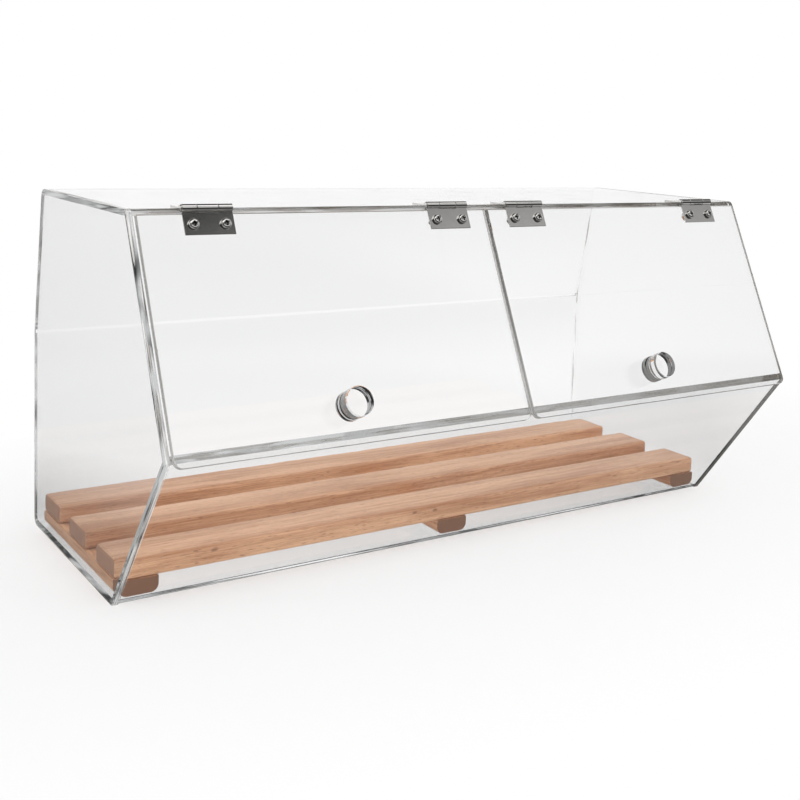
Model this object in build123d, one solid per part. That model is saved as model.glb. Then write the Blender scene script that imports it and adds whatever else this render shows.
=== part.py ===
from build123d import *
from math import atan2, cos, degrees, hypot, radians, sin, tan
import os

# A clear countertop bread bin with two lids and a lift-out wooden rack, in millimetres.
# +X runs to the right, the front faces -Y and +Z is up. The origin is the centre of the
# flat base, on the surface that the bin stands on.

# Case: two flat side panels with one bent sheet between them
case_width = 600.0
case_height = 289.0
base_depth = 198.0
back_bend_height = 167.0      # the back is upright up to here and leans forward above
top_back_inset = 21.0         # rear edge of the top, ahead of the foot of the back
top_front_overhang = 20.0     # front edge of the top, ahead of the base
nose_overhang = 97.0          # front ridge, ahead of the base
nose_height = 130.0
sheet = 5.0                   # thickness of every clear sheet
bend_radius = 2.5             # inside of the bends
panel_top_radius = 5.0        # side panel corners, except where they follow the bends
panel_blunt_radius = 1.0
edge_break = 0.4              # polished edges of the side panels and lids

# Lids
lid_seat_gap = 0.3            # lid's inner face to the plane of the front opening
lid_side_clearance = 1.0      # lid's outer edge to the side panel
lid_middle_gap = 3.0          # between the two lids
lid_overhang = 4.0            # lid's lower edge, beyond the front ridge
lid_corner_radius = 6.0

# Butt hinges, two to a lid
hinge_length = 38.0
middle_knuckle = 16.0
knuckle_radius = 3.0
knuckle_gap = 0.3
leaf_thickness = 1.2
leaf_reach = 20.0             # hinge axis to the leaf's free edge
leaf_notch_clearance = 0.4    # leaf to the other leaf's knuckle
lid_barrel_clearance = 0.6    # lid's upper edge to the barrel
hinge_from_lid_middle_edge = 37.5
hinge_from_lid_outer_edge = 51.0
pin_radius = 1.3
pin_running_clearance = 0.05
pin_head_radius = 2.6
pin_head_thickness = 0.9
pin_head_round = 0.7
pin_tip = 0.8                 # pin beyond the last knuckle
pin_tip_round = 0.6

# Machine screws and nuts: pan heads on the lids, flat heads sunk in the top leaves
screw_radius = 2.0
screw_row = 12.5              # hinge axis to the row of screws
screw_spacing = 24.0
screw_head_radius = 4.0
screw_head_height = 2.9
head_edge_height = 1.1        # upright part of the head, under its dome
flat_head_radius = 3.8
recess_reach = 2.4            # cross recess
recess_width = 1.1
recess_depth = 1.6
leaf_hole_clearance = 0.2
sheet_hole_clearance = 0.2
thread_clearance = 0.05       # tapped holes and nuts
lid_screw_length = 10.0
top_screw_length = 6.0
nut_across_flats = 7.0
nut_height = 3.2
nut_chamfer = 0.4
screw_point_chamfer = 0.5

# Knobs, turned from clear rod
knob_radius = 11.0
knob_length = 17.5
knob_foot = 4.0               # foot disc, below the waist
knob_waist = 6.0              # length of the waist
knob_waist_depth = 0.8
knob_chamfer = 0.5
knob_from_lid_bottom = 27.0
knob_offset = 13.0            # knob's centre, left of the middle of its lid

# Rack: three slats on three cross bars, loose on the floor of the case
rack_end_clearance = 1.5      # between the slats and the side panels
slat_width = 40.0
slat_height = 15.0
slat_round = 3.0
bar_width = 30.0
bar_height = 12.0
bar_round = 6.0
rack_front_room = 1.4         # behind the bend at the front of the floor
rack_back_room = 15.8         # from the rack to the back
rack_floor_gap = 0.3
wood_screw_radius = 1.75
wood_screw_head_radius = 3.5
wood_screw_length = 20.0
wood_screw_point = 3.0
wood_screw_recess = 0.5       # head, below the underside of the bar
wood_hole_clearance = 0.1
slat_names = ("front", "middle", "back")
bar_names = ("left", "middle", "right")

# Corners of the case seen from its right side, as (y, z)
base_front = (-base_depth / 2, 0)
base_back = (base_depth / 2, 0)
back_bend = (base_depth / 2, back_bend_height)
top_back = (base_depth / 2 - top_back_inset, case_height)
top_front = (-base_depth / 2 - top_front_overhang, case_height)
nose = (-base_depth / 2 - nose_overhang, nose_height)

# Plane of the front opening: x across, y up the lid, z outwards, from the top's front edge
opening_drop = case_height - nose_height
opening_run = nose_overhang - top_front_overhang
opening_length = hypot(opening_drop, opening_run)
opening_cos = opening_drop / opening_length
opening_sin = opening_run / opening_length
opening_plane = Plane(
    origin=(0, *top_front), x_dir=(1, 0, 0), z_dir=(0, -opening_cos, opening_sin)
)

# Hinge axis: half a leaf above the top and half a leaf outside the lid
lid_outer_face = lid_seat_gap + sheet
axis_above_top = leaf_thickness / 2
axis_off_opening = lid_outer_face + leaf_thickness / 2
axis_ahead = (axis_off_opening - axis_above_top * opening_sin) / opening_cos
axis_y = top_front[0] - axis_ahead
axis_z = case_height + axis_above_top
axis_down_lid = axis_ahead * opening_sin - axis_above_top * opening_cos

# Lids, measured down the opening from the top's front edge and across it from the middle
lid_top = axis_down_lid + knuckle_radius + lid_barrel_clearance
lid_bottom = opening_length + lid_overhang
lid_inner_edge = lid_middle_gap / 2
lid_outer_edge = case_width / 2 - sheet - lid_side_clearance
lid_width = lid_outer_edge - lid_inner_edge
lid_middle = (lid_outer_edge + lid_inner_edge) / 2
inner_hinge_x = lid_inner_edge + hinge_from_lid_middle_edge
outer_hinge_x = lid_outer_edge - hinge_from_lid_outer_edge
hinge_places = {
    "left_outer": -outer_hinge_x,
    "left_inner": -inner_hinge_x,
    "right_inner": inner_hinge_x,
    "right_outer": outer_hinge_x,
}
lid_middles = {"left": -lid_middle, "right": lid_middle}

# Rack
apron_angle = atan2(nose_height, -nose_overhang)
floor_start = sheet / tan(apron_angle / 2) + bend_radius / tan(apron_angle / 2)
rack_front = base_front[0] + floor_start + rack_front_room
rack_back = base_back[0] - sheet - rack_back_room
rack_depth = rack_back - rack_front
rack_length = case_width - 2 * (sheet + rack_end_clearance)
bar_bottom = sheet + rack_floor_gap
slat_bottom = bar_bottom + bar_height
slat_pitch = (rack_depth - slat_width) / 2
slat_centres = [rack_front + slat_width / 2 + i * slat_pitch for i in range(3)]
bar_reach = (rack_length - bar_width) / 2
bar_centres = [-bar_reach, 0, bar_reach]


def outline(corners):
    return make_face(Polyline(*corners, close=True))


def round_corners(face, corners, radius):
    for corner in corners:
        nearest = face.vertices().sort_by_distance((*corner, 0))[0]
        face = fillet(nearest, radius)
    return face


def along_x(face, start, length):
    return extrude(Plane.YZ.offset(start) * face, length)


def bar_along_x(radius, start, end):
    return Pos((start + end) / 2, 0, 0) * Rot(0, 90, 0) * Cylinder(radius, end - start)


def hinge_on_top(x):
    return Plane(origin=(x, axis_y, axis_z), x_dir=(1, 0, 0), z_dir=(0, 0, 1))


def hinge_on_lid(x):
    return Plane(origin=(x, axis_y, axis_z), x_dir=(-1, 0, 0), z_dir=opening_plane.z_dir)


def screw_spots(hinge):
    # Under the screw heads: on the leaf's outer face
    half = screw_spacing / 2
    return [hinge * Pos(x, screw_row, leaf_thickness / 2) for x in (-half, half)]


def drill(body, spots, radius, depth):
    for spot in spots:
        body -= spot * Pos(0, 0, -depth / 2) * Cylinder(radius, depth)
    return body


def countersink(body, spots):
    # Cones with their wide end under the top of each flat head
    wide = flat_head_radius + thread_clearance
    for spot in spots:
        body -= spot * Pos(0, 0, -wide / 2) * Cone(0, wide, wide)
    return body


def side_panel(outer_x, towards_middle):
    corners = (base_front, base_back, back_bend, top_back, top_front, nose)
    face = outline(corners)
    face = round_corners(face, (base_back, top_back), bend_radius + sheet)
    face = round_corners(face, (top_front,), panel_top_radius)
    face = round_corners(face, (base_front, back_bend, nose), panel_blunt_radius)
    panel = along_x(face, min(outer_x, outer_x + towards_middle * sheet), sheet)
    outside = panel.faces().sort_by_distance((outer_x, 0, case_height / 2))[0]
    return chamfer(outside.edges(), edge_break)


def bent_shell(screw_holes):
    # One sheet: apron, floor, back and top. The room inside it is open at the front.
    bends = (base_front, base_back, back_bend, top_back)
    wall = outline((*bends, top_front, nose))
    wall = round_corners(wall, bends, bend_radius + sheet)
    reach = 2 * sheet / opening_cos
    open_top = (top_front[0] - reach, case_height)
    apron_slope = -nose_overhang / nose_height
    open_nose = (nose[0] + reach * apron_slope, nose_height + reach)
    room = offset(outline((*bends, open_top, open_nose)), -sheet, kind=Kind.INTERSECTION)
    inner_bends = [
        tuple(room.vertices().sort_by_distance((*bend, 0))[0])[:2] for bend in bends
    ]
    room = round_corners(room, inner_bends, bend_radius)
    square_cut = Pos(top_front[0] - sheet, case_height - sheet) * Rectangle(2 * sheet, 4 * sheet)
    shell = along_x(wall - room - square_cut, sheet - case_width / 2, case_width - 2 * sheet)
    shell = drill(shell, screw_holes, screw_radius + thread_clearance, 3 * sheet)
    return countersink(shell, screw_holes)


def lid(middle_x, screw_holes):
    face = Pos(middle_x, -(lid_top + lid_bottom) / 2) * Rectangle(lid_width, lid_bottom - lid_top)
    lower = face.vertices().sort_by(Axis.Y)[:2]
    face = fillet(lower, lid_corner_radius)
    plate = extrude(opening_plane.offset(lid_seat_gap) * face, sheet)
    outside = plate.faces().sort_by(Axis(opening_plane.origin, opening_plane.z_dir))[-1]
    plate = chamfer(outside.edges(), edge_break)
    return drill(plate, screw_holes, screw_radius + sheet_hole_clearance, 3 * sheet)


def knuckle_spans(in_middle):
    half_gap = knuckle_gap / 2
    middle = middle_knuckle / 2
    end = hinge_length / 2
    if in_middle:
        return [(half_gap - middle, middle - half_gap)]
    return [(-end, -middle - half_gap), (middle + half_gap, end)]


def leaf(in_middle):
    # The hinge axis is X, and the leaf reaches along +Y with its screw heads on +Z
    bore = pin_radius + pin_running_clearance
    root = knuckle_radius + leaf_notch_clearance
    tab_start = (bore + knuckle_radius) / 2
    plate = Pos(0, (root + leaf_reach) / 2, 0) * Box(hinge_length, leaf_reach - root, leaf_thickness)
    for start, end in knuckle_spans(in_middle):
        middle = (start + end) / 2
        tab = Box(end - start, root - tab_start, leaf_thickness)
        plate += Pos(middle, (root + tab_start) / 2, 0) * tab
        plate += bar_along_x(knuckle_radius, start, end)
    plate -= bar_along_x(bore, -hinge_length, hinge_length)
    spots = screw_spots(Location())
    plate = drill(plate, spots, screw_radius + leaf_hole_clearance, 2 * leaf_thickness)
    return countersink(plate, spots) if in_middle else plate


def hinge_pin():
    end = hinge_length / 2
    head_start = -end - knuckle_gap
    head = bar_along_x(pin_head_radius, head_start - pin_head_thickness, head_start)
    dome = head.faces().sort_by(Axis.X)[0].edges()
    head = fillet(dome, pin_head_round)
    shank = bar_along_x(pin_radius, head_start, end + pin_tip)
    tip = shank.faces().sort_by(Axis.X)[-1].edges()
    return head + fillet(tip, pin_tip_round)


def cross_recess():
    arms = Box(2 * recess_reach, recess_width, recess_depth)
    arms += Box(recess_width, 2 * recess_reach, recess_depth)
    return Pos(0, 0, -recess_depth / 2) * arms


def pan_screw(length):
    # The underside of the head is at the origin, with the shank below it
    head = extrude(Circle(screw_head_radius), screw_head_height)
    rim = head.faces().sort_by(Axis.Z)[-1].edges()
    head = fillet(rim, screw_head_height - head_edge_height)
    head -= Pos(0, 0, screw_head_height) * cross_recess()
    shank = extrude(Circle(screw_radius), -length)
    point = shank.faces().sort_by(Axis.Z)[0].edges()
    return head + chamfer(point, screw_point_chamfer)


def flat_screw(length):
    # The top of the head is at the origin, with the shank below it
    point = screw_point_chamfer
    profile = Polyline(
        (0, 0),
        (flat_head_radius, 0),
        (screw_radius, screw_radius - flat_head_radius),
        (screw_radius, point - length),
        (screw_radius - point, -length),
        (0, -length),
        close=True,
    )
    return revolve(Plane.XZ * make_face(profile), Axis.Z) - cross_recess()


def nut():
    # The face that bears on the sheet is at the origin, with the nut below it
    blank = extrude(RegularPolygon(nut_across_flats / 2, 6, major_radius=False), -nut_height)
    corner_radius = nut_across_flats / 2 / cos(radians(30))
    turned = extrude(Circle(corner_radius), -nut_height)
    turned = chamfer(turned.faces().sort_by(Axis.Z)[0].edges(), nut_chamfer)
    bore = Pos(0, 0, -nut_height / 2) * Cylinder(screw_radius + thread_clearance, nut_height)
    return (blank & turned) - bore


def knob():
    # Turned about Z, with its foot at the origin
    face = knob_length - knob_chamfer
    waist_end = knob_foot + knob_waist
    waist_middle = (knob_radius - knob_waist_depth, knob_foot + knob_waist / 2)
    profile = (
        Line((0, 0), (knob_radius, 0))
        + Line((knob_radius, 0), (knob_radius, knob_foot))
        + ThreePointArc((knob_radius, knob_foot), waist_middle, (knob_radius, waist_end))
        + Polyline(
            (knob_radius, waist_end),
            (knob_radius, face),
            (knob_radius - knob_chamfer, knob_length),
            (0, knob_length),
            (0, 0),
        )
    )
    return revolve(Plane.XZ * make_face(profile), Axis.Z)


def slat(centre_y):
    piece = Box(rack_length, slat_width, slat_height)
    piece = fillet(piece.edges(), slat_round)
    return Pos(0, centre_y, slat_bottom + slat_height / 2) * piece


def cross_bar(centre_x):
    piece = Box(bar_width, rack_depth, bar_height)
    lower = piece.edges().filter_by(Axis.Y).sort_by(Axis.Z)[:2]
    piece = fillet(lower, bar_round)
    return Pos(centre_x, rack_front + rack_depth / 2, bar_bottom + bar_height / 2) * piece


def wood_screw(grow):
    # Countersunk and pointing up, with its head at the origin; grow widens it into its hole
    head = wood_screw_head_radius + grow
    body = wood_screw_radius + grow
    cone = wood_screw_head_radius - wood_screw_radius
    profile = Polyline(
        (0, 0),
        (head, 0),
        (body, cone),
        (body, wood_screw_length - wood_screw_point),
        (0, wood_screw_length + grow),
        close=True,
    )
    return revolve(Plane.XZ * make_face(profile), Axis.Z)


def rack_screw_spots():
    head_z = bar_bottom + wood_screw_recess
    return [Pos(x, y, head_z) for x in bar_centres for y in slat_centres]


def bore_for_wood_screws(piece):
    for spot in rack_screw_spots():
        piece -= spot * wood_screw(wood_hole_clearance)
        well = wood_screw_head_radius + wood_hole_clearance
        piece -= spot * Pos(0, 0, -wood_screw_recess / 2) * Cylinder(well, wood_screw_recess)
    return piece


def group(solids):
    return Compound(children=list(solids))


parts = {}

# Case
top_screw_spots = [
    spot for x in hinge_places.values() for spot in screw_spots(hinge_on_top(x).location)
]
parts["side_panel_left"] = side_panel(-case_width / 2, 1)
parts["side_panel_right"] = side_panel(case_width / 2, -1)
parts["bent_shell"] = bent_shell(top_screw_spots)

# Lids, with their knobs, screws and nuts
for side, middle_x in lid_middles.items():
    spots = [
        spot
        for name, x in hinge_places.items()
        if name.startswith(side)
        for spot in screw_spots(hinge_on_lid(x).location)
    ]
    under_sheet = Pos(0, 0, -leaf_thickness - sheet)
    knob_spot = Pos(middle_x - knob_offset, knob_from_lid_bottom - lid_bottom, lid_outer_face)
    parts[f"lid_{side}"] = lid(middle_x, spots)
    parts[f"knob_{side}"] = opening_plane.location * knob_spot * knob()
    parts[f"lid_screws_{side}"] = group(spot * pan_screw(lid_screw_length) for spot in spots)
    parts[f"lid_nuts_{side}"] = group(spot * under_sheet * nut() for spot in spots)

# Hinges
for name, x in hinge_places.items():
    parts[f"{name}_hinge_top_leaf"] = hinge_on_top(x).location * leaf(True)
    parts[f"{name}_hinge_lid_leaf"] = hinge_on_lid(x).location * leaf(False)
    parts[f"{name}_hinge_pin"] = hinge_on_top(x).location * hinge_pin()
parts["top_leaf_screws"] = group(spot * flat_screw(top_screw_length) for spot in top_screw_spots)

# Rack
for name, y in zip(slat_names, slat_centres):
    parts[f"slat_{name}"] = bore_for_wood_screws(slat(y))
for name, x in zip(bar_names, bar_centres):
    parts[f"cross_bar_{name}"] = bore_for_wood_screws(cross_bar(x))
parts["rack_screws"] = group(spot * wood_screw(0) for spot in rack_screw_spots())

os.makedirs("parts", exist_ok=True)
for name, part in parts.items():
    part.label = name
    export_step(part, f"parts/{name}.step")
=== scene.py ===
import bmesh
import bpy
from math import cos, hypot, pi, radians, sin
from mathutils import Matrix, Vector
from mathutils.geometry import tessellate_polygon


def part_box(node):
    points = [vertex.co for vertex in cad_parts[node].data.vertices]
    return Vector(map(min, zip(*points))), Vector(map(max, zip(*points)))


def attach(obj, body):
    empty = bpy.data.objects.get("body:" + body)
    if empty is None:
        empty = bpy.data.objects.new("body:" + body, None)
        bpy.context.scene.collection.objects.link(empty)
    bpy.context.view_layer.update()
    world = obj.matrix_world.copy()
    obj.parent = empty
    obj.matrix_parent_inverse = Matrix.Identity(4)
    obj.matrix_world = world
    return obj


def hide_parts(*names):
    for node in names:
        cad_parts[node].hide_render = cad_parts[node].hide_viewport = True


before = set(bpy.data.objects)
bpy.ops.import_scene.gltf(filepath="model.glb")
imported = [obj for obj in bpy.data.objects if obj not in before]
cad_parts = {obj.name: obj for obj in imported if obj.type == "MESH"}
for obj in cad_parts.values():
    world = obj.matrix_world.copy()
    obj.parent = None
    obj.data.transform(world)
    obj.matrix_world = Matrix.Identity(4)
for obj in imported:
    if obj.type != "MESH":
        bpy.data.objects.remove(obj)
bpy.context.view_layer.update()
scene = bpy.context.scene
scene.view_settings.view_transform = "Standard"
scene.cycles.max_bounces = 32
scene.cycles.transmission_bounces = 32
scene.cycles.glossy_bounces = 32
scene.cycles.transparent_max_bounces = 48
mm = 0.001
sides = ("left", "right")
hinges = {"leftOuter": "left", "leftInner": "left", "rightInner": "right", "rightOuter": "right"}

# Section of the case as (y, z), from the frame and a few places along it
caseShape = {
    "frontTopY": -0.119,
    "noseZ": 0.130,
    "backBendZ": 0.167,
    "backTopY": 0.078,
    "sheet": 0.005,
    "lidGap": 0.0003,
}
shellLow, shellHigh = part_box("bent_shell")
baseFront = (-shellHigh.y, 0.0)
baseBack = (shellHigh.y, 0.0)
backBend = (shellHigh.y, caseShape["backBendZ"])
topBack = (caseShape["backTopY"], shellHigh.z)
topFront = (caseShape["frontTopY"], shellHigh.z)
nose = (shellLow.y, caseShape["noseZ"])
openingDrop = topFront[1] - nose[1]
openingRun = topFront[0] - nose[0]
openingLength = hypot(openingDrop, openingRun)
lidDown = Vector((0, -openingRun / openingLength, -openingDrop / openingLength))
lidOut = Vector((0, -openingDrop / openingLength, openingRun / openingLength))
lidOrigin = Vector((0, *topFront))
lidFace = caseShape["lidGap"] + caseShape["sheet"]


class Wire:
    # One output of a node. Sums on it add Math nodes to its tree.
    def __init__(self, tree, socket=None):
        self.tree = tree
        self.socket = socket

    def node(self, kind, settings=None, values=None, output=0):
        made = self.tree.nodes.new(kind)
        for name, value in (settings or {}).items():
            setattr(made, name, value)
        for key, value in (values or {}).items():
            if isinstance(value, Wire):
                self.tree.links.new(value.socket, made.inputs[key])
            else:
                made.inputs[key].default_value = value
        return Wire(self.tree, made.outputs[output])

    def math(self, operation, *values):
        return self.node("ShaderNodeMath", {"operation": operation}, dict(enumerate(values)))

    def ramp(self, low, high, start=0.0, end=1.0):
        # A clamped slope from low to high
        return self.node("ShaderNodeMapRange", None, {0: self, 1: low, 2: high, 3: start, 4: end})

    def __add__(self, other):
        return self.math("ADD", self, other)

    def __sub__(self, other):
        return self.math("SUBTRACT", self, other)

    def __rsub__(self, other):
        return self.math("SUBTRACT", other, self)

    def __mul__(self, other):
        return self.math("MULTIPLY", self, other)

    def __truediv__(self, other):
        return self.math("DIVIDE", self, other)

    def __pow__(self, other):
        return self.math("POWER", self, other)

    def __gt__(self, other):
        return self.math("GREATER_THAN", self, other)

    def __lt__(self, other):
        return self.math("LESS_THAN", self, other)

    def __abs__(self):
        return self.math("ABSOLUTE", self)

    __radd__ = __add__
    __rmul__ = __mul__


def mixColour(factor, first, second):
    return factor.node("ShaderNodeMix", {"data_type": "RGBA"}, {0: factor, 6: first, 7: second}, 2)


def mixShader(factor, first, second):
    return first.node("ShaderNodeMixShader", None, {0: factor, 1: first, 2: second})


def newMaterial(name):
    material = bpy.data.materials.new(name)
    material.use_nodes = True
    material.node_tree.nodes.clear()
    return material, Wire(material.node_tree)


def place(wire):
    where = wire.node("ShaderNodeTexCoord", output=3)
    return where, [wire.node("ShaderNodeSeparateXYZ", None, {0: where}, i) for i in range(3)]


def vector(wire, x, y, z):
    return wire.node("ShaderNodeCombineXYZ", None, {0: x, 1: y, 2: z})


def scaled(where, scale):
    return where.node("ShaderNodeVectorMath", {"operation": "MULTIPLY"}, {0: where, 1: scale})


def noise(where, scale, detail=2.0, roughness=0.5):
    values = {"Vector": where, "Scale": scale, "Detail": detail, "Roughness": roughness}
    return where.node("ShaderNodeTexNoise", None, values)


def bump(height, strength, distance):
    values = {"Strength": strength, "Distance": distance, "Height": height}
    return height.node("ShaderNodeBump", None, values)


def useShader(shader):
    end = shader.tree.nodes.new("ShaderNodeOutputMaterial")
    shader.tree.links.new(shader.socket, end.inputs[0])


# Clear plastic: smooth, with faint smears, milky saw lines on its cut edges, and open to lamps; its edges
# carry painted light and shade, and spent rays end on a painted glow
clearPlastic = {
    "tint": (0.986, 0.987, 0.987, 1),
    "ior": 1.49,
    "lampTint": (0.995, 0.995, 0.995, 1),
    "smearScale": 9.0,
    "smears": (0.5, 0.8),
    "smearRoughness": 0.01,
    "rippleScale": 40.0,
    "ripple": 0.02,
    "jointReach": 0.03 * mm,
    "edgeInset": 0.3 * mm,
    "edgeMilk": 0.66,
    "edgeLight": (0.97, 0.96, 0.94, 1),
    "edgeDark": (0.1, 0.08, 0.055, 1),
    "edgeRoughness": (0.3, 0.6),
    "edgeBump": 0.2,
    "edgeBumpHeight": 0.2 * mm,
    "sheetEdgeShade": 0.3,
    "edgeLine": 1.1 * mm,
    "edgeRun": 90.0 * mm,
    "panelRun": (0.6, 1.4),
    "lidRun": 0.1,
    "streaks": (0.42, 0.58),
    "dashes": (0.42, 0.56),
    "caseDashes": (3.3 * mm, 36.0 * mm),
    "lidDashes": (1.6 * mm, 220.0 * mm),
    "dashSeed": 3.3,
    "bendHighlight": 0.9,
    "bendHighlightWidth": 3.0 * mm,
    # Painted glow for rays spent inside: rays spent, noise scale, where it turns bright, dark tone, light
    # tone
    "caseGlow": (6.5, 25.0, (0.4, 0.6), (0.035, 0.035, 0.035, 1), (0.61, 0.62, 0.62, 1)),
    "lidGlow": (6.5, 5.0, (0.4, 0.6), (0.06, 0.06, 0.055, 1), (0.6, 0.6, 0.59, 1)),
    "knobGlow": (1.5, 150.0, (0.48, 0.54), (0.0, 0.0, 0.0, 1), (0.5, 0.5, 0.5, 1)),
    "shellGlow": 0.68,
    "shellFront": -0.09,
    "rightShade": (-0.2, 0.3, 1.0, 0.15),
    "rearLight": (0, 0.05),
}


def wallDepth(y, z, start, end):
    # How far a point lies inside the wall that runs from start to end
    along = Vector((end[0] - start[0], end[1] - start[1])).normalized()
    return (y - start[0]) * -along.y + (z - start[1]) * along.x


def caseJoint(x, y, z):
    # Where the bent sheet's ends are cemented to the side panels
    walls = [(nose, baseFront), (baseFront, baseBack), (baseBack, backBend), (backBend, topBack)]
    depth = wallDepth(y, z, topBack, topFront) + (y < topFront[0])
    for start, end in walls:
        depth = depth.math("MINIMUM", depth, wallDepth(y, z, start, end))
    onFace = abs(abs(x) - shellHigh.x) < clearPlastic["jointReach"]
    return onFace * (depth < caseShape["sheet"])


def panelEdge(x, y, z):
    # Rims of the side panels, between their two faces, and the sheet's own cut edges
    inset = abs(x) - shellHigh.x
    rim = (inset > clearPlastic["edgeInset"]) * (inset < caseShape["sheet"] - clearPlastic["edgeInset"])
    onTop = (y < topFront[0] + 0.05 * mm) * (z > topFront[1] - 6 * mm)
    out, _ = lidPlace(y, z)
    onNose = (out > -0.05 * mm) * (z < nose[1] + 20 * mm)
    return rim.math("MAXIMUM", rim, (onTop + onNose) * (inset < 0))


def lidPlace(y, z):
    fromY, fromZ = y - lidOrigin.y, z - lidOrigin.z
    out = fromY * lidOut.y + fromZ * lidOut.z
    down = fromY * lidDown.y + fromZ * lidDown.z
    return out, down


def lidJoint(knobX, knobDown, knobRadius):
    def joint(x, y, z):
        out, down = lidPlace(y, z)
        away = (x - knobX) ** 2 + (down - knobDown) ** 2
        onFace = abs(out - lidFace) < clearPlastic["jointReach"]
        return onFace * (away < knobRadius ** 2)
    return joint


def lidEdge(x, y, z):
    out, _ = lidPlace(y, z)
    inset = clearPlastic["edgeInset"]
    return (out > caseShape["lidGap"] + inset) * (out < lidFace - inset)


def noEdge(x, y, z):
    return x * 0


def clearBody(wire, where):
    look = clearPlastic
    smear = noise(where, look["smearScale"], 6.0, 0.6).ramp(*look["smears"], 0.0, look["smearRoughness"])
    ripple = noise(where, look["rippleScale"], 1.0)
    return wire.node("ShaderNodeBsdfPrincipled", None, {
        "Base Color": look["tint"],
        "IOR": look["ior"],
        "Transmission Weight": 1.0,
        "Roughness": smear,
        "Normal": bump(ripple, look["ripple"], mm),
    })


def cutEdge(wire, paintedLight, x, y, z, isCase):
    # Saw lines on a cut edge: across counts the lines and along follows them
    look = clearPlastic
    out, down = lidPlace(y, z)
    across, along = out, x + z * look["lidRun"]
    if isCase:
        onPanel = abs(x) > shellHigh.x
        across = down + onPanel * (x - down)
        along = x + onPanel * (y * look["panelRun"][0] + z * look["panelRun"][1] - x)
    lines = vector(wire, across / look["edgeLine"], along / look["edgeRun"], 0)
    streaks = noise(lines, 1.0, 3.0, 0.6)
    dashLine, dashRun = look["caseDashes" if isCase else "lidDashes"]
    dashes = noise(vector(wire, across / dashLine, along / dashRun, look["dashSeed"]), 1.0, 1.0)
    # The saw lines are the edge's own; their light tone is painted light, fading to the dark tone where
    # paintedLight is low
    white = streaks.ramp(*look["streaks"]) * paintedLight
    if isCase:
        # Painted shade: the bent sheet's own cut edges are painted darker than the panels' rims
        white = white * onPanel.ramp(0, 1, look["sheetEdgeShade"], 1.0)
    cut = wire.node("ShaderNodeBsdfPrincipled", None, {
        "Base Color": mixColour(white, look["edgeDark"], look["edgeLight"]),
        "Roughness": streaks.ramp(0, 1, *look["edgeRoughness"]),
        "Normal": bump(streaks + dashes, look["edgeBump"], look["edgeBumpHeight"]),
    })
    # Painted shade: where paintedLight is low, the dark cut covers the whole edge
    milk = (dashes.ramp(*look["dashes"]) * paintedLight + (1 - paintedLight)) * look["edgeMilk"]
    return cut, milk


def makeClear(name, joint, edge, glowKind="lidGlow", isCase=False):
    look = clearPlastic
    material, wire = newMaterial(name)
    where, (x, y, z) = place(wire)
    # Painted shade: edge tones, the bend line and the spent-ray glow are painted darker towards the front
    # right, as against the studio's dark side, and lighter at the back
    paintedLight = x.ramp(*look["rightShade"])
    paintedLight = paintedLight.math("MAXIMUM", paintedLight, y.ramp(*look["rearLight"]))
    cut, milk = cutEdge(wire, paintedLight, x, y, z, isCase)
    body = mixShader(edge(x, y, z) * milk, clearBody(wire, where), cut)
    if isCase:
        plain = wire.node("ShaderNodeBsdfTransparent")
        # Painted highlight: a band along the back bend is let straight through, which shows as a lighter
        # line
        onBend = (abs(z - backBend[1]) < look["bendHighlightWidth"] / 2) * (abs(x) < shellHigh.x)
        body = mixShader(onBend * paintedLight * look["bendHighlight"], body, plain)
    lamps = wire.node("ShaderNodeBsdfTransparent", None, {0: look["lampTint"]})
    shadowRay = wire.node("ShaderNodeLightPath", output="Is Shadow Ray")
    diffuseRay = wire.node("ShaderNodeLightPath", output="Is Diffuse Ray")
    body = mixShader(shadowRay.math("MAXIMUM", shadowRay, diffuseRay), body, lamps)
    through = wire.node("ShaderNodeBsdfTransparent")
    body = mixShader(joint(x, y, z), body, through)
    # Painted light: rays spent past the set depth end on a glow painted by noise in dark and light tones,
    # standing in for light led along inside the plastic
    bounces, scale, ends, dark, light = look[glowKind]
    bright = noise(where, scale).ramp(*ends) * paintedLight
    if isCase:
        # Painted light: the bent sheet's front glows brighter
        onShell = (y < look["shellFront"]) * (abs(x) < shellHigh.x)
        bright = bright.math("MAXIMUM", bright, onShell * look["shellGlow"])
    paintedGlow = wire.node("ShaderNodeEmission", None, {0: mixColour(bright, dark, light), 1: 1.0})
    spent = wire.node("ShaderNodeLightPath", output="Ray Depth") > bounces
    useShader(mixShader(spent, body, paintedGlow))
    return material


# Bright nickel on the hinges and screws, with painted shade in its recesses
nickel = {
    "colour": (0.76, 0.75, 0.73, 1),
    "dull": (0.62, 0.61, 0.59, 1),
    "roughness": 0.03,
    "wear": 0.06,
    "grainScale": (60, 2500, 2500),
    "grainRoughness": 0.04,
    "patchScale": 220.0,
    "pitScale": 1500.0,
    "pits": (0.66, 0.74),
    "scratch": 0.1,
    "scratchHeight": 0.02 * mm,
    "recessShade": (0.03, 0.03, 0.03, 1),
    "recessShadeReach": 1.6 * mm,
    "recessShadeRamp": (0.35, 0.75),
}


def makeNickel(name):
    look = nickel
    material, wire = newMaterial(name)
    where, _ = place(wire)
    settings = {"samples": 8, "only_local": True}
    unoccluded = wire.node("ShaderNodeAmbientOcclusion", settings, {"Distance": look["recessShadeReach"]}, 1)
    grain = noise(scaled(where, look["grainScale"]), 1.0, 3.0)
    patches = noise(where, look["patchScale"], 4.0)
    pits = noise(where, look["pitScale"], 2.0).ramp(*look["pits"])
    colour = mixColour(patches * 0.7 + pits * 0.3, look["colour"], look["dull"])
    # Painted shade: recesses found by ambient occlusion are darkened to near black
    colour = mixColour(unoccluded.ramp(*look["recessShadeRamp"]), look["recessShade"], colour)
    useShader(wire.node("ShaderNodeBsdfPrincipled", None, {
        "Base Color": colour,
        "Metallic": 1.0,
        "Roughness": look["roughness"] + patches * look["wear"] + grain * look["grainRoughness"],
        "Normal": bump(grain - pits, look["scratch"], look["scratchHeight"]),
    }))
    return material


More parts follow.
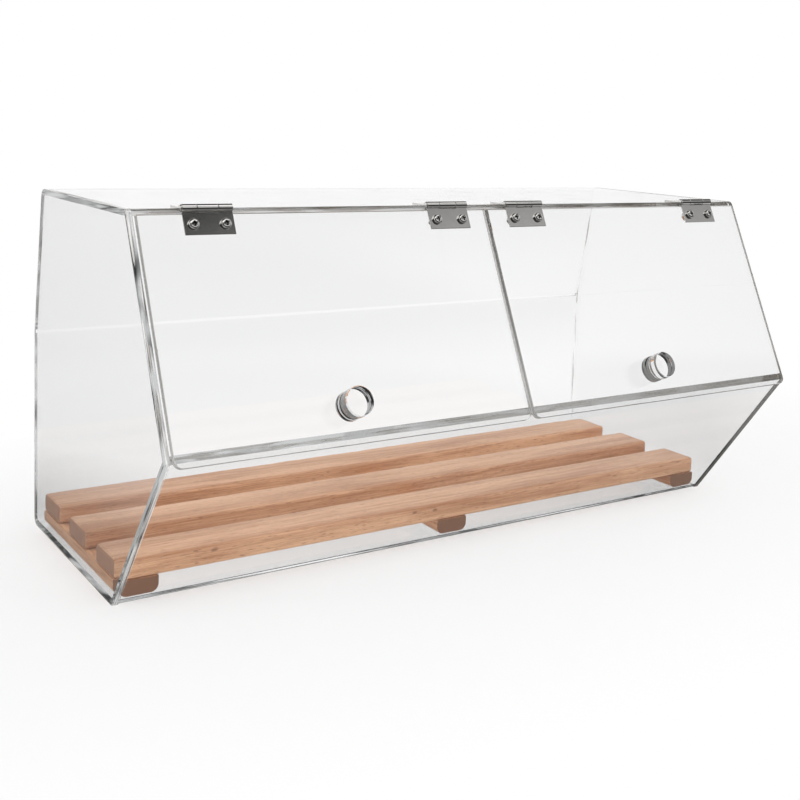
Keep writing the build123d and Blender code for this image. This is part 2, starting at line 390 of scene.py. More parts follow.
# Steamed beech: long fibres, growth rings about a far heart, short dark flecks, a few knots.
# Scales are along the fibres and across them, and each tone is low, high, start, end of a slope.
beech = {
    "light": (0.82, 0.47, 0.27, 1),
    "dark": (0.5, 0.22, 0.095, 1),
    "fleck": (0.25, 0.1, 0.045, 1),
    "ringPitch": 5.0 * mm,
    "heart": (0.03, -0.045),
    "bend": 0.035,
    "bendScale": (2.2, 9, 9),
    "broadScale": (1.8, 85, 85),
    "cloudScale": (5, 26, 26),
    "fibreScale": (26, 1300, 1300),
    "fleckScale": (130, 1300, 1300),
    "broad": (0.36, 0.66, 0.0, 0.75),
    "clouds": (0.4, 0.65, 0.0, 0.4),
    "fibres": (0.38, 0.62, 0.0, 0.6),
    "flecks": (0.62, 0.7, 0.0, 0.7),
    "rings": 0.2,
    "toneShift": -0.52,
    "pieceShift": (0.73, 0.037),
    "roughness": 0.42,
    "fibreRoughness": 0.2,
    "endRoughness": 0.3,
    "fleckDepth": 0.86,
    "relief": 0.35,
    "reliefHeight": 0.1 * mm,
    "oil": 0.5,
    "oilRoughness": 0.3,
    "slatEnd": (0.38, 0.2, 0.12, 1),
    "barEnd": (0.22, 0.1, 0.05, 1),
    "knots": [(-0.203, 0.0285), (-0.022, 0.0285), (0.0, 0.0275)],
    "knotSize": (2.6 * mm, 1.2 * mm),
    "knotFade": (0.3, 1.6, 0.75, 0.0),
    "knotSide": -0.09,
}


def grainNoise(scale, run, across, z, detail, roughness=0.5):
    # scale is along the fibres, then across them twice
    along, side, up = scale
    return noise(vector(run, run * along, across * side, z * up), 1.0, detail, roughness)


def makeBeech(name, grain=0, knots=(), ends=None):
    # grain is the axis that the fibres follow: 0 along the slats, 1 along the bars. Without
    # the tree's endGrain, ends are the two places where the grain is cut.
    look = beech
    material, wire = newMaterial(name)
    where, (x, y, z) = place(wire)
    piece = wire.node("ShaderNodeAttribute", {"attribute_name": "piece"}, output=2)
    end = wire.node("ShaderNodeAttribute", {"attribute_name": "endGrain"}, output=2)
    run, side = (x, y) if grain == 0 else (y, x)
    endColour = look["slatEnd"]
    if ends:
        end = (run < ends[0]) + (run > ends[1])
        endColour = look["barEnd"]
    run = run + piece * look["pieceShift"][0]
    across = side + piece * look["pieceShift"][1]
    bend = grainNoise(look["bendScale"], run, across, z, 3.0) * look["bend"]
    broad = grainNoise(look["broadScale"], run, across + bend, z + bend, 4.0, 0.6)
    ring = ((across + bend - look["heart"][0]) ** 2 + (z + bend - look["heart"][1]) ** 2) ** 0.5
    rings = (ring.math("SINE", ring * (2 * pi / look["ringPitch"])) * 0.5 + 0.5) * look["rings"]
    fibres = grainNoise(look["fibreScale"], run, across, z, 3.0, 0.6)
    cloud = grainNoise(look["cloudScale"], run, across, z, 3.0)
    tone = broad.ramp(*look["broad"]) + rings + fibres.ramp(*look["fibres"])
    tone = tone + cloud.ramp(*look["clouds"]) + look["toneShift"]
    flecks = grainNoise(look["fleckScale"], run, across, z, 1.0).ramp(*look["flecks"])
    colour = mixColour(tone.ramp(0.0, 1.0), look["light"], look["dark"])
    colour = mixColour(flecks, colour, look["fleck"])
    for knotX, knotZ in knots:
        away = ((x - knotX + bend) / look["knotSize"][0]) ** 2 + ((z - knotZ) / look["knotSize"][1]) ** 2
        onFront = y < look["knotSide"]
        colour = mixColour(away.ramp(*look["knotFade"]) * onFront, colour, look["fleck"])
    colour = mixColour(end, colour, endColour)
    useShader(wire.node("ShaderNodeBsdfPrincipled", None, {
        "Base Color": colour,
        "Roughness": look["roughness"] + fibres * look["fibreRoughness"] + end * look["endRoughness"],
        "Coat Weight": (1 - end) * look["oil"],
        "Coat Roughness": look["oilRoughness"],
        "Normal": bump(fibres - flecks * look["fleckDepth"], look["relief"], look["reliefHeight"]),
    }))
    return material


def dress(node, material):
    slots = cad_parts[node].data.materials
    slots.clear()
    slots.append(material)


hardAngle = 35  # degrees: flatter edges are shaded smooth
rimAngle = 1.2  # radians: edges past it are rims, and are eased


# Own meshes are drawn in millimetres about their own axes, then set in place
def axesAt(origin, across, out):
    rows = (across, out.cross(across), out, origin)
    return Matrix([[v[i] for v in rows] for i in range(3)] + [[0, 0, 0, 1]]) @ Matrix.Scale(mm, 4)


def turned(mesh, profile, steps, closed=False):
    # Revolves (radius, height) points about Z. A radius of 0 is one point on the axis.
    rings = []
    for radius, height in profile:
        angles = [2 * pi * i / steps for i in range(steps if radius else 1)]
        rings.append([mesh.verts.new((radius * cos(a), radius * sin(a), height)) for a in angles])
    if closed:
        rings.append(rings[0])
    for first, second in zip(rings, rings[1:]):
        for i in range(steps):
            quad = [first[i % len(first)], first[(i + 1) % len(first)]]
            quad += [second[(i + 1) % len(second)], second[i % len(second)]]
            mesh.faces.new(list(dict.fromkeys(quad)))


def plate(mesh, loops, low, high):
    # A flat plate between two heights: the first loop is its outline, the others are holes
    flat = [point for loop in loops for point in loop]
    levels = [[mesh.verts.new((*point, level)) for point in flat] for level in (low, high)]
    for triangle in tessellate_polygon([[Vector((*p, 0)) for p in loop] for loop in loops]):
        for level in levels:
            mesh.faces.new([level[i] for i in triangle])
    first = 0
    for loop in loops:
        for i in range(len(loop)):
            a, b = first + i, first + (i + 1) % len(loop)
            mesh.faces.new((levels[0][a], levels[0][b], levels[1][b], levels[1][a]))
        first += len(loop)


def circle(x, y, radius, steps):
    angles = [2 * pi * i / steps for i in range(steps)]
    return [(x + radius * cos(a), y + radius * sin(a)) for a in angles]


def meshObject(name, mesh, axes=None, sharp=hardAngle):
    bmesh.ops.recalc_face_normals(mesh, faces=mesh.faces)
    if axes:
        mesh.transform(axes)
    data = bpy.data.meshes.new(name)
    mesh.to_mesh(data)
    mesh.free()
    for face in data.polygons:
        face.use_smooth = True
    data.set_sharp_from_angle(angle=radians(sharp))
    made = bpy.data.objects.new(name, data)
    scene.collection.objects.link(made)
    return made


def addMesh(mesh, part):
    data = bpy.data.meshes.new("part")
    part.to_mesh(data)
    part.free()
    mesh.from_mesh(data)
    bpy.data.meshes.remove(data)


def adopt(piece, body, material, slot, *nodes):
    piece.data.materials.clear()
    piece.data.materials.append(material)
    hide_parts(*nodes)
    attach(piece, body)


print("geometry trees")


def newTree(name, inputs):
    tree = bpy.data.node_groups.new(name, "GeometryNodeTree")
    tree.interface.new_socket("Geometry", in_out="INPUT", socket_type="NodeSocketGeometry")
    tree.interface.new_socket("Geometry", in_out="OUTPUT", socket_type="NodeSocketGeometry")
    for label, kind in inputs:
        tree.interface.new_socket(label, in_out="INPUT", socket_type="NodeSocket" + kind)
    entry = tree.nodes.new("NodeGroupInput")
    return tree, {socket.name: Wire(tree, socket) for socket in entry.outputs if socket.name}


def closeTree(tree, geometry, material):
    whole = geometry.node("GeometryNodeRealizeInstances", None, {0: geometry})
    whole = whole.node("GeometryNodeSetMaterial", None, {"Geometry": whole, "Material": material})
    end = tree.nodes.new("NodeGroupOutput")
    tree.links.new(whole.socket, end.inputs[0])


def runTree(tree, carrier, values):
    modifier = carrier.modifiers.new("tree", "NODES")
    modifier.node_group = tree
    for item in tree.interface.items_tree:
        if item.in_out == "INPUT" and item.name in values:
            modifier[item.identifier] = values[item.name]
    bpy.context.view_layer.update()
    ready = carrier.evaluated_get(bpy.context.evaluated_depsgraph_get())
    data = bpy.data.meshes.new_from_object(ready)
    data.set_sharp_from_angle(angle=radians(hardAngle))
    carrier.modifiers.remove(modifier)
    carrier.data = data
    return carrier


def makeCopyTree():
    # A shape less its cutter, copied to every point and turned about its own axis
    tree, given = newTree("copies", [
        ("Shape", "Object"), ("Cutter", "Object"), ("Turn", "Float"), ("Seed", "Int"),
        ("Material", "Material"),
    ])
    whole = given["Shape"].node("GeometryNodeObjectInfo", None, {"Object": given["Shape"]}, 4)
    cutter = given["Shape"].node("GeometryNodeObjectInfo", None, {"Object": given["Cutter"]}, 4)
    exact = {"operation": "DIFFERENCE", "solver": "EXACT"}
    cut = whole.node("GeometryNodeMeshBoolean", exact, {0: whole, 1: cutter, 2: True})
    facing = cut.node("GeometryNodeInputNamedAttribute", {"data_type": "FLOAT_VECTOR"}, {"Name": "facing"})
    facing = cut.node("FunctionNodeEulerToRotation", None, {0: facing})
    angle = cut.node("FunctionNodeRandomValue", {"data_type": "FLOAT"}, {
        "Min": 0.0, "Max": given["Turn"], "Seed": given["Seed"],
    }, 1)
    spin = cut.node("FunctionNodeAxisAngleToRotation", None, {"Axis": (0, 0, 1), "Angle": angle})
    facing = cut.node("FunctionNodeRotateRotation", {"rotation_space": "LOCAL"}, {0: facing, 1: spin})
    copies = cut.node("GeometryNodeInstanceOnPoints", None, {
        "Points": given["Geometry"], "Instance": cut, "Rotation": facing, "Scale": (mm, mm, mm),
    })
    closeTree(tree, copies, given["Material"])
    return tree


def makeSlatTree():
    # Blocks with rounded edges: the inner part of each face's grid makes the flat, and the rest
    # of it is pulled onto the round
    tree, given = newTree("slats", [
        ("Count", "Int"), ("First", "Vector"), ("Step", "Vector"), ("Size", "Vector"),
        ("Round", "Float"), ("Cuts", "Int"), ("Wear", "Float"), ("Seed", "Int"), ("Material", "Material"),
    ])
    cuts = given["Cuts"]
    flatShare, roundShare = (0.25, 0.25, 0.25), (0.75, 0.75, 0.75)
    cube = cuts.node("GeometryNodeMeshCube", None, {
        "Size": (2, 2, 2), "Vertices X": cuts, "Vertices Y": cuts, "Vertices Z": cuts,
    })
    where = cuts.node("GeometryNodeInputPosition")

    def vectors(operation, *values):
        return cuts.node("ShaderNodeVectorMath", {"operation": operation}, dict(enumerate(values)))

    radius = vectors("SCALE", (1, 1, 1))
    tree.links.new(given["Round"].socket, radius.socket.node.inputs["Scale"])
    inner = vectors("SUBTRACT", vectors("MULTIPLY", given["Size"], (0.5, 0.5, 0.5)), radius)
    size = vectors("ABSOLUTE", where)
    span = vectors("MINIMUM", vectors("DIVIDE", size, flatShare), (1, 1, 1))
    rim = vectors("DIVIDE", vectors("SUBTRACT", size, flatShare), roundShare)
    rim = vectors("MAXIMUM", rim, (0, 0, 0))
    core = vectors("MULTIPLY", vectors("MULTIPLY", inner, span), vectors("SIGN", where))
    away = vectors("MULTIPLY", rim, vectors("SIGN", where))
    reach = vectors("MULTIPLY", vectors("NORMALIZE", away), radius)
    shaped = vectors("ADD", core, reach)
    ends = abs(cuts.node("ShaderNodeSeparateXYZ", None, {0: away}, 0)) > 0.999
    block = cube.node("GeometryNodeStoreNamedAttribute", {"data_type": "FLOAT", "domain": "POINT"}, {
        "Geometry": cube, "Name": "endGrain", "Value": ends,
    })
    block = cube.node("GeometryNodeSetPosition", None, {"Geometry": block, "Position": shaped})
    line = cuts.node("GeometryNodeMeshLine", {"mode": "OFFSET"}, {
        "Count": given["Count"], "Start Location": given["First"], "Offset": given["Step"],
    })
    copies = cuts.node("GeometryNodeInstanceOnPoints", None, {"Points": line, "Instance": block})
    index = cuts.node("GeometryNodeInputIndex")
    copies = cuts.node("GeometryNodeStoreNamedAttribute", {"data_type": "FLOAT", "domain": "INSTANCE"}, {
        "Geometry": copies, "Name": "piece", "Value": index,
    })
    whole = cuts.node("GeometryNodeRealizeInstances", None, {0: copies})
    # Hand sanding eases the faces a little, never outwards
    there = cuts.node("GeometryNodeInputPosition")
    sanded = cuts.node("ShaderNodeTexNoise", {"noise_dimensions": "4D"}, {
        "Vector": there, "W": given["Seed"], "Scale": 30.0, "Detail": 1.0,
    })
    normal = cuts.node("GeometryNodeInputNormal")
    inwards = vectors("SCALE", normal)
    tree.links.new((sanded * given["Wear"] * -1.0).socket, inwards.socket.node.inputs["Scale"])
    whole = whole.node("GeometryNodeSetPosition", None, {"Geometry": whole, "Offset": inwards})
    closeTree(tree, whole, given["Material"])
    return tree


copyTree = makeCopyTree()
slatTree = makeSlatTree()

print("case and lids")
caseClear = makeClear("caseClear", caseJoint, panelEdge, "caseGlow", True)
for node in ("side_panel_left", "side_panel_right", "bent_shell"):
    dress(node, caseClear)

knob = {
    "radius": 11.0,
    "length": 17.5,
    "foot": 4.0,
    "waist": 6.0,
    "waistDepth": 0.8,
    "chamfer": 0.5,
    "waistSteps": 12,
    "steps": 160,
}


def makeKnob(side, axes):
    mesh = bmesh.new()
    radius, foot, chamfer, length = (knob[key] for key in ("radius", "foot", "chamfer", "length"))
    profile = [(0, 0), (radius, 0), (radius, foot)]
    half = knob["waist"] / 2
    curve = (half ** 2 + knob["waistDepth"] ** 2) / (2 * knob["waistDepth"])
    for i in range(1, knob["waistSteps"]):
        along = half * (2 * i / knob["waistSteps"] - 1)
        dip = (curve ** 2 - along ** 2) ** 0.5 - (curve - knob["waistDepth"])
        profile.append((radius - dip, foot + half + along))
    profile += [(radius, foot + knob["waist"]), (radius, length - chamfer)]
    profile += [(radius - chamfer, length), (0, length)]
    turned(mesh, profile, knob["steps"])
    return meshObject(side + "Knob", mesh, axes, 20)


for side in sides:
    low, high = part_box("knob_" + side)
    middle = (low + high) / 2 - lidOrigin
    foot = lidOrigin + Vector((middle.x, 0, 0)) + lidDown * middle.dot(lidDown) + lidOut * lidFace
    joint = lidJoint(middle.x, middle.dot(lidDown), knob["radius"] * mm)
    dress("lid_" + side, makeClear(side + "LidClear", joint, lidEdge))
    knobClear = makeClear(side + "KnobClear", joint, noEdge, "knobGlow")
    piece = makeKnob(side, axesAt(foot, Vector((1, 0, 0)), lidOut))
    adopt(piece, side + "_lid", knobClear, "clear_acrylic", "knob_" + side)

print("hinges")
brightNickel = makeNickel("brightNickel")
leaf = {
    "length": 38.0,
    "middleKnuckle": 16.0,
    "gap": 0.3,
    "barrel": 3.0,
    "bore": 1.35,
    "thickness": 1.2,
    "reach": 20.0,
    "root": 3.4,
    "ease": 0.15,
    "barrelEase": 0.3,
    "barrelSteps": 64,
    "screwRow": 12.5,
    "screwSpacing": 24.0,
    "hole": 2.2,
    "sinkHole": 3.85,
    "holeSteps": 48,
}


def barrel(mesh, start, end):
    outer, ease = leaf["barrel"], leaf["barrelEase"]
    small = ease * 0.3
    part = bmesh.new()
    turned(part, [
        (leaf["bore"], start), (outer - ease, start), (outer - small, start + small), (outer, start + ease),
        (outer, end - ease), (outer - small, end - small), (outer - ease, end), (leaf["bore"], end),
    ], leaf["barrelSteps"], True)
    part.transform(Matrix.Rotation(pi / 2, 4, "Y"))
    addMesh(mesh, part)


def makeLeaf(name, inMiddle, axes):
    half, knuckle = leaf["length"] / 2, leaf["middleKnuckle"] / 2
    gap = leaf["gap"] / 2
    root, tab, reach = leaf["root"], (leaf["bore"] + leaf["barrel"]) / 2, leaf["reach"]
    if inMiddle:
        near = knuckle - gap
        comb = [(half, root), (near, root), (near, tab), (-near, tab), (-near, root), (-half, root)]
        spans = [(-near, near)]
    else:
        near = knuckle + gap
        comb = [(half, tab), (near, tab), (near, root), (-near, root), (-near, tab), (-half, tab)]
        spans = [(-half, -near), (near, half)]
    hole = leaf["sinkHole"] if inMiddle else leaf["hole"]
    spots = (-leaf["screwSpacing"] / 2, leaf["screwSpacing"] / 2)
    loops = [[(-half, reach), (half, reach), *comb]]
    loops += [circle(x, leaf["screwRow"], hole, leaf["holeSteps"]) for x in spots]
    mesh = bmesh.new()
    plate(mesh, loops, -leaf["thickness"] / 2, leaf["thickness"] / 2)
    bmesh.ops.recalc_face_normals(mesh, faces=mesh.faces)
    rims = [edge for edge in mesh.edges if edge.calc_face_angle(0) > rimAngle]
    bmesh.ops.bevel(mesh, geom=rims, offset=leaf["ease"], segments=2, profile=0.5, affect="EDGES")
    for start, end in spans:
        barrel(mesh, start, end)
    return meshObject(name, mesh, axes, 14)


pin = {
    "radius": 1.3,
    "head": 2.6,
    "headStart": -19.3,
    "headEnd": -20.2,
    "headRound": 0.7,
    "end": 19.8,
    "tip": 0.6,
    "roundSteps": 6,
    "steps": 64,
}


def makePin(name, axes):
    mesh = bmesh.new()
    radius, headRound, end, tip = (pin[key] for key in ("radius", "headRound", "end", "tip"))
    flat = pin["head"] - headRound
    profile = [(0, pin["headEnd"])]
    for i in range(pin["roundSteps"] + 1):
        angle = pi / 2 * i / pin["roundSteps"]
        profile.append((flat + headRound * sin(angle), pin["headEnd"] + headRound * (1 - cos(angle))))
    profile += [(pin["head"], pin["headStart"]), (radius, pin["headStart"]), (radius, end - tip)]
    profile += [(radius - tip * 0.4, end - tip * 0.2), (radius - tip, end), (0, end)]
    turned(mesh, profile, pin["steps"])
    mesh.transform(Matrix.Rotation(pi / 2, 4, "Y"))
    return meshObject(name, mesh, axes)


hingeAxes = {}
for name, side in hinges.items():
    node = name.replace("Outer", "_outer").replace("Inner", "_inner") + "_hinge_"
    low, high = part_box(node + "pin")
    leafLow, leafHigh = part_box(node + "top_leaf")
    middle = Vector(((leafLow.x + leafHigh.x) / 2, (low.y + high.y) / 2, (low.z + high.z) / 2))
    onTop = axesAt(middle, Vector((1, 0, 0)), Vector((0, 0, 1)))
    onLid = axesAt(middle, Vector((-1, 0, 0)), lidOut)
    hingeAxes[name] = (onTop, onLid)
    adopt(makeLeaf(name + "TopLeaf", True, onTop), "case", brightNickel, "hinge_metal", node + "top_leaf")
    adopt(makePin(name + "Pin", onTop), "case", brightNickel, "hinge_metal", node + "pin")
    lidLeaf = makeLeaf(name + "LidLeaf", False, onLid)
    adopt(lidLeaf, side + "_lid", brightNickel, "hinge_metal", node + "lid_leaf")

print("screws and nuts")
screw = {
    "radius": 2.0,
    "panHead": 4.0,
    "panHeight": 2.9,
    "panEdge": 1.1,
    "flatHead": 3.8,
    "lidLength": 10.0,
    "topLength": 6.0,
    "point": 0.5,
    "thread": 0.12,
    "threadPitch": 0.7,
    "crossReach": 2.4,
    "crossWidth": 1.3,
    "crossDepth": 1.6,
    "crossOver": 1.0,
    "nutFlats": 7.0,
    "nutHeight": 3.2,
    "nutBore": 2.05,
    "woodRadius": 1.75,
    "woodHead": 3.5,
    "woodLength": 20.0,
    "woodPoint": 3.0,
    "turn": 6.3,
    "headEase": 0.1,
    "domeSteps": 8,
    "nutEase": 0.3,
    "steps": 64,
    "woodSteps": 48,
}


def threads(start, end):
    # Rounded grooves down the shank, from start to end
    points = []
    turns = int((start - end) / screw["threadPitch"])
    for i in range(turns * 4):
        height = start - i * screw["threadPitch"] / 4
        points.append((screw["radius"] - screw["thread"] * (0, 0.5, 1, 0.5)[i % 4], height))
    return points


def helper(name, build):
    mesh = bmesh.new()
    build(mesh)
    return meshObject(name, mesh)


def panScrew(mesh):
    height, edge, head, ease = (screw[key] for key in ("panHeight", "panEdge", "panHead", "headEase"))
    dome = height - edge
    profile = [(0, height)]
    for i in range(screw["domeSteps"] + 1):
        angle = pi / 2 * i / screw["domeSteps"]
        profile.append((head - dome + dome * sin(angle), edge + dome * cos(angle)))
    profile += [(head, ease), (head - ease, 0), (screw["radius"], 0)]
    profile += threads(-2 * ease, -screw["lidLength"] + screw["point"])
    profile += [(screw["radius"] - screw["point"], -screw["lidLength"]), (0, -screw["lidLength"])]
    turned(mesh, profile, screw["steps"])


def sunkHead(head, radius):
    ease = screw["headEase"]
    return [(0, 0), (head - ease, 0), (head - ease * 0.6, -ease * 0.6), (radius, radius - head)]


def flatScrew(mesh):
    head, radius, ease = screw["flatHead"], screw["radius"], screw["headEase"]
    profile = sunkHead(head, radius)
    profile += threads(radius - head - ease, -screw["topLength"] + screw["point"])
    profile += [(radius - screw["point"], -screw["topLength"]), (0, -screw["topLength"])]
    turned(mesh, profile, screw["steps"])


def woodScrew(mesh):
    head, radius = screw["woodHead"], screw["woodRadius"]
    end = screw["woodPoint"] - screw["woodLength"]
    profile = sunkHead(head, radius) + [(radius, end), (0, -screw["woodLength"])]
    turned(mesh, profile, screw["woodSteps"])


def cross(top):
    # A cross with sloping ends, cut down from the top of a head
    def build(mesh):
        reach, half = screw["crossReach"], screw["crossWidth"] / 2
        for quarter in (0, pi / 2):
            arm = bmesh.new()
            above = (top + screw["crossOver"], reach + 0.5, half + 0.1)
            below = (top - screw["crossDepth"], reach * 0.45, half * 0.7)
            corners = []
            for level, length, width in (above, below):
                corners.append([arm.verts.new((x, y, level)) for x, y in (
                    (-length, -width), (length, -width), (length, width), (-length, width))])
            arm.faces.new(corners[0])
            arm.faces.new(corners[1])
            for i in range(4):
                arm.faces.new((corners[0][i - 1], corners[0][i], corners[1][i], corners[1][i - 1]))
            bmesh.ops.recalc_face_normals(arm, faces=arm.faces)
            arm.transform(Matrix.Rotation(quarter, 4, "Z"))
            addMesh(mesh, arm)
    return build


def nutBlank(mesh):
    radius = screw["nutFlats"] / 2 / cos(pi / 6)
    blank = bmesh.new()
    plate(blank, [circle(0, 0, radius, 6)], -screw["nutHeight"], 0)
    bmesh.ops.recalc_face_normals(blank, faces=blank.faces)
    # The face that bears on the lid keeps its full edge
    under = [edge for edge in blank.edges if max(corner.co.z for corner in edge.verts) < -0.1]
    rims = [edge for edge in under if edge.calc_face_angle(0) > rimAngle]
    bmesh.ops.bevel(blank, geom=rims, offset=screw["nutEase"], segments=2, profile=0.5, affect="EDGES")
    addMesh(mesh, blank)


def nutBore(mesh):
    turned(mesh, [(0, 1), (screw["nutBore"], 1), (screw["nutBore"], -5), (0, -5)], 32)


shapes = {
    "pan": (helper("panScrew", panScrew), helper("panCross", cross(screw["panHeight"]))),
    "flat": (helper("flatScrew", flatScrew), helper("flatCross", cross(0))),
    "wood": (helper("woodScrew", woodScrew), helper("woodCross", cross(0))),
    "nut": (helper("nutBlank", nutBlank), helper("nutBore", nutBore)),
}


def placeCopies(name, kind, spots, turn, seed, material):
    # spots are axes whose Z points out of the head
    data = bpy.data.meshes.new(name)
    data.from_pydata([spot.translation for spot in spots], [], [])
    facing = data.attributes.new("facing", "FLOAT_VECTOR", "POINT")
    for item, spot in zip(facing.data, spots):
        item.vector = spot.to_euler()
    carrier = bpy.data.objects.new(name, data)
    scene.collection.objects.link(carrier)
    shape, cutter = shapes[kind]
    return runTree(copyTree, carrier, {
        "Shape": shape, "Cutter": cutter, "Turn": turn, "Seed": seed, "Material": material,
    })


def spotsOn(axes, depth):
    # A leaf's two screw places, without the scale of its axes
    row, half = leaf["screwRow"], leaf["screwSpacing"] / 2
    spots = [axes @ Matrix.Translation((x, row, depth)) for x in (-half, half)]
    facing = axes.to_quaternion().to_matrix().to_4x4()
    return [Matrix.Translation(spot.translation) @ facing for spot in spots]


outside = leaf["thickness"] / 2
behind = -outside - caseShape["sheet"] / mm
topSpots = []
for onTop, _ in hingeAxes.values():
    topSpots += spotsOn(onTop, outside)
piece = placeCopies("topScrews", "flat", topSpots, screw["turn"], 3, brightNickel)
adopt(piece, "case", brightNickel, "screw_metal", "top_leaf_screws")
for number, side in enumerate(sides):
    heads, nuts = [], []
    for name, (_, onLid) in hingeAxes.items():
        if hinges[name] == side:
            heads += spotsOn(onLid, outside)
            nuts += spotsOn(onLid, behind)
    piece = placeCopies(side + "LidScrews", "pan", heads, screw["turn"], 5 + number, brightNickel)
    adopt(piece, side + "_lid", brightNickel, "screw_metal", "lid_screws_" + side)
    piece = placeCopies(side + "LidNuts", "nut", nuts, 0.0, 0, brightNickel)
    adopt(piece, side + "_lid", brightNickel, "screw_metal", "lid_nuts_" + side)

print("rack")
slats = {
    "count": 3,
    "round": 3.0 * mm,
    "cuts": 12,
    "wear": 0.12 * mm,
    "seed": 4,
    "barEnd": 0.1 * mm,
}
slatBeech = makeBeech("slatBeech", 0, beech["knots"])
barLow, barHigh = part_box("cross_bar_left")
barBeech = makeBeech("barBeech", 1, (), (barLow.y + slats["barEnd"], barHigh.y - slats["barEnd"]))
boxes = [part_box("slat_" + name) for name in ("front", "middle", "back")]
middles = [(low + high) / 2 for low, high in boxes]
carrier = bpy.data.objects.new("slats", bpy.data.meshes.new("slats"))
scene.collection.objects.link(carrier)
piece = runTree(slatTree, carrier, {
    "Count": slats["count"], "First": middles[0], "Step": middles[1] - middles[0],
    "Size": boxes[0][1] - boxes[0][0], "Round": slats["round"], "Cuts": slats["cuts"],
    "Wear": slats["wear"], "Seed": slats["seed"], "Material": slatBeech,
})
adopt(piece, "rack", slatBeech, "beech", "slat_front", "slat_middle", "slat_back")
barMiddles = []
for name in ("left", "middle", "right"):
    dress("cross_bar_" + name, barBeech)
    low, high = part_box("cross_bar_" + name)
    barMiddles.append((low + high) / 2)
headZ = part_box("rack_screws")[0].z
down = Matrix.Rotation(pi, 4, "X")
rackSpots = [Matrix.Translation((bar.x, slat.y, headZ)) @ down for bar in barMiddles for slat in middles]
piece = placeCopies("rackScrews", "wood", rackSpots, screw["turn"], 9, brightNickel)
adopt(piece, "rack", brightNickel, "zinc_screw", "rack_screws")

for shape, cutter in shapes.values():
    bpy.data.objects.remove(shape)
    bpy.data.objects.remove(cutter)

print("camera, floor and light")
cameraSpot = {
    "place": (-0.5746, -0.9018, 0.3591),
    "yaw": 34.55,
    "pitch": 6.37,
    "roll": 2.21,
    "focalPixels": 1181.8,
    "centrePixel": (443.2, 249.4),
    "picture": 800,
}


def makeCamera():
    yaw, pitch, roll = (radians(cameraSpot[name]) for name in ("yaw", "pitch", "roll"))
    forward = Vector((sin(yaw) * cos(pitch), cos(yaw) * cos(pitch), -sin(pitch)))
    right = forward.cross(Vector((0, 0, 1))).normalized()
    up = right.cross(forward)
    turnedRight = right * cos(roll) + up * sin(roll)
    turnedUp = up * cos(roll) - right * sin(roll)
    data = bpy.data.cameras.new("camera")
    size = cameraSpot["picture"]
    data.sensor_width = 36
    data.lens = cameraSpot["focalPixels"] / size * data.sensor_width
    data.shift_x = (size / 2 - cameraSpot["centrePixel"][0]) / size
    data.shift_y = (cameraSpot["centrePixel"][1] - size / 2) / size
    camera = bpy.data.objects.new("camera", data)
    camera.matrix_world = Matrix((turnedRight, turnedUp, -forward)).transposed().to_4x4()
    camera.location = cameraSpot["place"]
    scene.collection.objects.link(camera)
    scene.camera = camera


studio = {
    "fillLow": 1.0,
    "fillHigh": 1.3,
    "floor": (0.75, 0.75, 0.75, 1),
    "floorReach": 6.0,
    "floorLevel": -0.2 * mm,
    "floorGlow": (0.4, 1.0),
    "floorFade": (1.0, 2.4),
    "underBinGlow": 0.15,
    "underBinGlowFade": (1.1, 0.9),
    "bounceGlow": 0.5,
    "footprint": (0.36, 0.17, 1.0),
    "mirrored": (0.15, 0.68),
    "mirroredFront": (-0.6, -0.3, 0.1, 1.0),
    "mirroredFade": (0.36, 0.5),
    "dark": 0.04,
    "sideDark": 0.26,
    "backdropTop": (0.64, 0.5),
    "backdropFront": (-0.35, -0.15),
    "boxTop": (0.67, 0.46),
    "boxFoot": (0.26, 0.34),
    "boxRight": (0.88, 0.7),
    "boxLeft": (-0.3, -0.15),
    "boxBack": (-0.15, -0.35),
    "stripBand": (0.7, 0.93),
    "stripBack": (-0.05, -0.15),
    "softbox": 0.96,
    "strip": 1.3,
}


def bounced(wire):
    # 1 for rays that a surface has mirrored on their way
    return wire.node("ShaderNodeLightPath", output="Glossy Depth") > 0.5


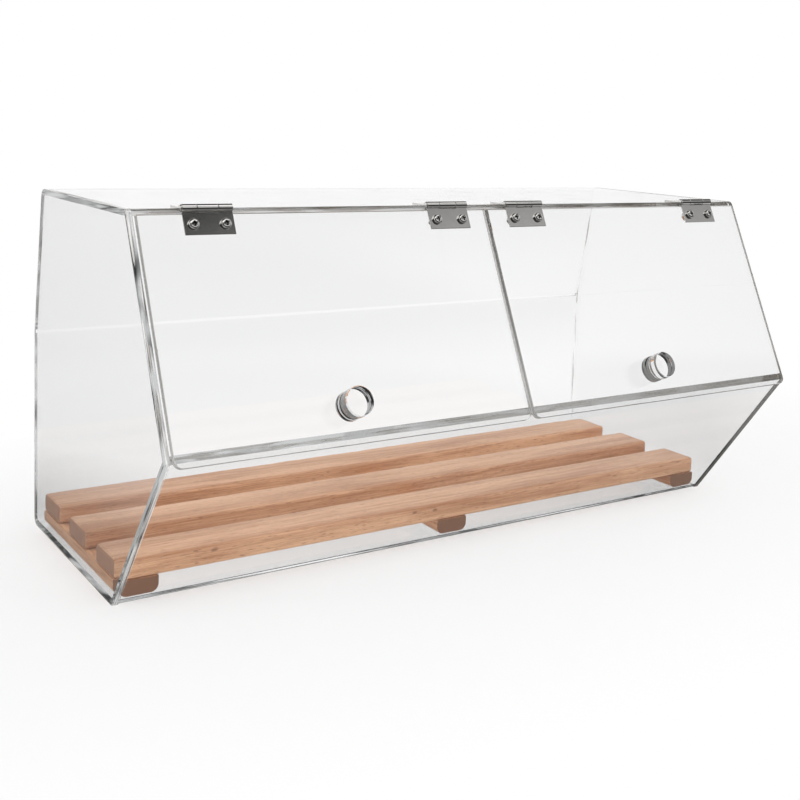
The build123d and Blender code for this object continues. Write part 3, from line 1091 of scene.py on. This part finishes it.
def makeFloor():
    mesh = bpy.data.meshes.new("floor")
    half = studio["floorReach"]
    corners = [(x * half, y * half, studio["floorLevel"]) for x, y in ((-1, -1), (1, -1), (1, 1), (-1, 1))]
    mesh.from_pydata(corners, [], [(0, 1, 2, 3)])
    floor = bpy.data.objects.new("floor", mesh)
    scene.collection.objects.link(floor)
    material, wire = newMaterial("floorWhite")
    where, _ = place(wire)
    away = wire.node("ShaderNodeVectorMath", {"operation": "LENGTH"}, {0: where}, 1)
    fromBin = wire.node("ShaderNodeVectorMath", {"operation": "DIVIDE"}, {0: where, 1: studio["footprint"]})
    fromBin = wire.node("ShaderNodeVectorMath", {"operation": "LENGTH"}, {0: fromBin}, 1)
    fade = fromBin.ramp(*studio["floorFade"], *studio["floorGlow"])
    throughPanel = wire.node("ShaderNodeLightPath", output="Transmission Depth") > 0.5
    fade = fade.math("MAXIMUM", fade, throughPanel)
    # Painted light: seen through the plastic, the floor under the bin glows whiter than white
    white = 1 + throughPanel * fromBin.ramp(*studio["underBinGlowFade"]) * studio["underBinGlow"]
    diffuseRay = wire.node("ShaderNodeLightPath", output="Is Diffuse Ray")
    near = wire.node("ShaderNodeBsdfDiffuse", None, {0: studio["floor"]})
    far = wire.node("ShaderNodeEmission", None, {0: vector(wire, white, white, white), 1: 1.0})
    seen = mixShader(fade * (1 - diffuseRay * (1 - studio["bounceGlow"])), near, far)
    y = wire.node("ShaderNodeSeparateXYZ", None, {0: where}, 1)
    shade = away.ramp(*studio["mirroredFade"], *studio["mirrored"]) * y.ramp(*studio["mirroredFront"])
    shade = wire.node("ShaderNodeEmission", None, {0: vector(wire, shade, shade, shade), 1: 1.0})
    useShader(mixShader(bounced(wire), seen, shade))
    mesh.materials.append(material)


def makeWorld():
    world = bpy.data.worlds.new("studio")
    scene.world = world
    world.use_nodes = True
    world.node_tree.nodes.clear()
    wire = Wire(world.node_tree)
    direction = wire.node("ShaderNodeTexCoord", output=0)
    x, y, z = [wire.node("ShaderNodeSeparateXYZ", None, {0: direction}, i) for i in range(3)]
    sideways = x / ((x ** 2 + y ** 2) ** 0.5 + 0.001)
    backdrop = z.ramp(*studio["backdropTop"]) * y.ramp(*studio["backdropFront"])
    softbox = z.ramp(*studio["boxTop"]) * z.ramp(*studio["boxFoot"])
    softbox = softbox * sideways.ramp(*studio["boxRight"], studio["sideDark"], studio["softbox"])
    softbox = softbox * sideways.ramp(*studio["boxLeft"]) * y.ramp(*studio["boxBack"])
    stripLow, stripHigh = studio["stripBand"]
    strip = (z > stripLow) * (z < stripHigh) * y.ramp(*studio["stripBack"]) * studio["strip"]
    room = backdrop.math("MAXIMUM", backdrop, softbox + strip + studio["dark"])
    room = vector(wire, room, room, room)
    colour = mixColour(bounced(wire), (1, 1, 1, 1), room)
    diffuseRay = wire.node("ShaderNodeLightPath", output="Is Diffuse Ray")
    fill = z.ramp(0, 1, studio["fillLow"], studio["fillHigh"])
    colour = mixColour(diffuseRay, colour, vector(wire, fill, fill, fill))
    glow = wire.node("ShaderNodeBackground", None, {0: colour, 1: 1.0})
    end = wire.tree.nodes.new("ShaderNodeOutputWorld")
    wire.tree.links.new(glow.socket, end.inputs[0])


makeCamera()
makeFloor()
makeWorld()
